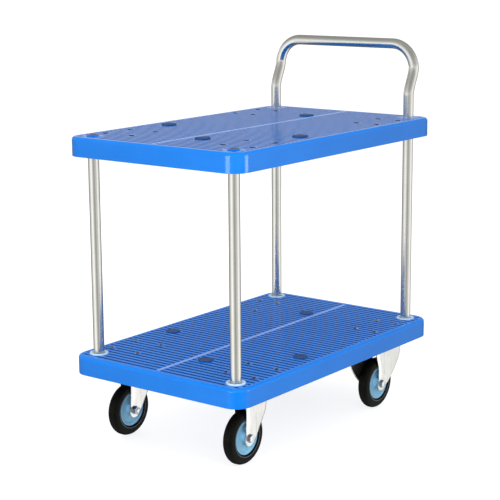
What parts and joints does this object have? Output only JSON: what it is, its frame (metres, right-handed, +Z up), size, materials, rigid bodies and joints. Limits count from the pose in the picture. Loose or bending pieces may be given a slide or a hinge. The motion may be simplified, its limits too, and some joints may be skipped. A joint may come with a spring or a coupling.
{
  "type": "two-deck platform cart",
  "caption": "Two-deck platform cart with ribbed blue plastic decks, tubular steel posts, a fixed push handle and swivel and rigid casters.",
  "frame": {"origin": "on the floor, under the middle of the decks", "axes": "+X towards the handle end, +Y towards the left-hand side of someone facing +X, +Z up"},
  "size_m": [0.78, 0.49, 0.9],
  "materials": {
    "deck_plastic": "satin moulded polypropylene, bright blue",
    "steel_tube": "satin",
    "zinc": "bright zinc plate",
    "tyre_rubber": "black rubber",
    "hub_plastic": "satin, light blue",
    "collar_plastic": "satin, pale blue",
    "plug_plastic": "dark blue"
  },
  "bodies": {
    "chassis": {"upper_deck": "deck_plastic", "lower_deck": "deck_plastic", "upper_deck_plug_a": "plug_plastic", "upper_deck_plug_b": "plug_plastic", "upper_deck_plug_c": "plug_plastic", "upper_deck_plug_d": "plug_plastic", "lower_deck_plug_a": "plug_plastic", "lower_deck_plug_b": "plug_plastic", "lower_deck_plug_c": "plug_plastic", "lower_deck_plug_d": "plug_plastic", "handle_frame": "steel_tube", "front_post_left": "steel_tube", "post_cap_left": "plug_plastic", "front_post_right": "steel_tube", "post_cap_right": "plug_plastic", "post_collar_front_left": "collar_plastic", "post_bolt_front_left": "zinc", "post_collar_front_right": "collar_plastic", "post_bolt_front_right": "zinc", "post_collar_rear_left": "collar_plastic", "post_bolt_rear_left": "zinc", "post_collar_rear_right": "collar_plastic", "post_bolt_rear_right": "zinc", "swivel_plate_left": "zinc", "kingpin_left": "zinc", "rigid_bracket_left": "zinc", "swivel_plate_right": "zinc", "kingpin_right": "zinc", "rigid_bracket_right": "zinc", "caster_bolt_front_left_1": "zinc", "caster_bolt_front_left_2": "zinc", "caster_bolt_front_left_3": "zinc", "caster_bolt_front_left_4": "zinc", "caster_bolt_front_right_1": "zinc", "caster_bolt_front_right_2": "zinc", "caster_bolt_front_right_3": "zinc", "caster_bolt_front_right_4": "zinc", "axle_bolt_rear_left": "zinc", "caster_bolt_rear_left_1": "zinc", "caster_bolt_rear_left_2": "zinc", "caster_bolt_rear_left_3": "zinc", "caster_bolt_rear_left_4": "zinc", "axle_bolt_rear_right": "zinc", "caster_bolt_rear_right_1": "zinc", "caster_bolt_rear_right_2": "zinc", "caster_bolt_rear_right_3": "zinc", "caster_bolt_rear_right_4": "zinc"},
    "swivel_front_left": {"swivel_fork_left": "zinc", "axle_bolt_front_left": "zinc"},
    "swivel_front_right": {"swivel_fork_right": "zinc", "axle_bolt_front_right": "zinc"},
    "wheel_front_left": {"tyre_front_left": "tyre_rubber", "hub_front_left": "hub_plastic"},
    "wheel_front_right": {"tyre_front_right": "tyre_rubber", "hub_front_right": "hub_plastic"},
    "wheel_rear_left": {"tyre_rear_left": "tyre_rubber", "hub_rear_left": "hub_plastic"},
    "wheel_rear_right": {"tyre_rear_right": "tyre_rubber", "hub_rear_right": "hub_plastic"}
  },
  "joints": [
    {"name": "front_left_swivel", "type": "hinge", "parent": "chassis", "child": "swivel_front_left", "pos_m": [-0.2515, 0.17, 0.1405], "axis": [0, 0, 1], "continuous": true},
    {"name": "front_left_spin", "type": "hinge", "parent": "swivel_front_left", "child": "wheel_front_left", "pos_m": [-0.2835, 0.17, 0.0625], "axis": [0, 1, 0], "continuous": true},
    {"name": "rear_left_spin", "type": "hinge", "parent": "chassis", "child": "wheel_rear_left", "pos_m": [0.234, 0.183, 0.0625], "axis": [0, 1, 0], "continuous": true},
    {"name": "front_right_swivel", "type": "hinge", "parent": "chassis", "child": "swivel_front_right", "pos_m": [-0.2515, -0.17, 0.1405], "axis": [0, 0, 1], "continuous": true},
    {"name": "front_right_spin", "type": "hinge", "parent": "swivel_front_right", "child": "wheel_front_right", "pos_m": [-0.2835, -0.17, 0.0625], "axis": [0, 1, 0], "continuous": true},
    {"name": "rear_right_spin", "type": "hinge", "parent": "chassis", "child": "wheel_rear_right", "pos_m": [0.234, -0.183, 0.0625], "axis": [0, 1, 0], "continuous": true}
  ]
}
